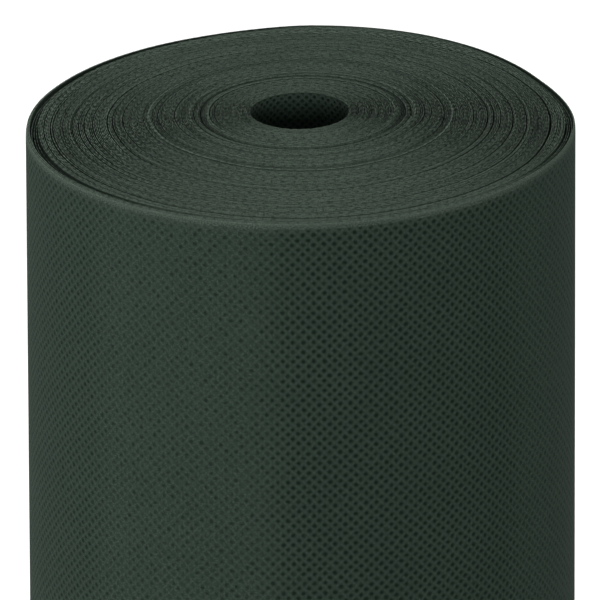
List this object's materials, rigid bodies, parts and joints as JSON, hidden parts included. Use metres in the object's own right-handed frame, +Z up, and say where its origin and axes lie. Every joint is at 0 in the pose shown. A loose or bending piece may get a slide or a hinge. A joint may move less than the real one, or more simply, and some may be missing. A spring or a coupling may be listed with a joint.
{
  "type": "roll of spunbond fabric",
  "caption": "Coreless roll of dark green spunbond nonwoven, wound on itself round an open bore, standing on one end, with a loose end that lifts off.",
  "frame": {"origin": "on the bore's axis, in the middle of the lower end face that the roll stands on", "axes": "+Z up along the bore, -Y towards the side that the picture shows, +Y towards the loose end"},
  "size_m": [0.159, 0.1594, 0.4038],
  "materials": {
    "web_face": "matt nonwoven with a staggered grid of small round bond points",
    "web_edge": "matt, finely ridged cut edges of the wound layers"
  },
  "bodies": {
    "roll": {"starting_turn": "web_face", "core_turns": "web_edge", "inner_turns": "web_edge", "middle_turns": "web_edge", "outer_turns": "web_edge", "rim_turns": "web_edge", "proud_turn": "web_edge", "outer_ply": "web_face"},
    "loose_root": {"loose_end_root": "web_face"},
    "loose_tip": {"loose_end_tip": "web_face"}
  },
  "joints": [
    {"name": "loose_end_lift", "type": "hinge", "parent": "roll", "child": "loose_root", "pos_m": [-0.03983, 0.06899, 0.2], "axis": [0, 0, 1], "range_deg": [0, 60]},
    {"name": "loose_end_curl", "type": "hinge", "parent": "loose_root", "child": "loose_tip", "pos_m": [0, 0.07973, 0.2], "axis": [0, 0, 1], "range_deg": [0, 30]}
  ],
  "couplings": [
    {"joint": "loose_end_curl", "follows": "loose_end_lift", "ratio": 0.5}
  ]
}
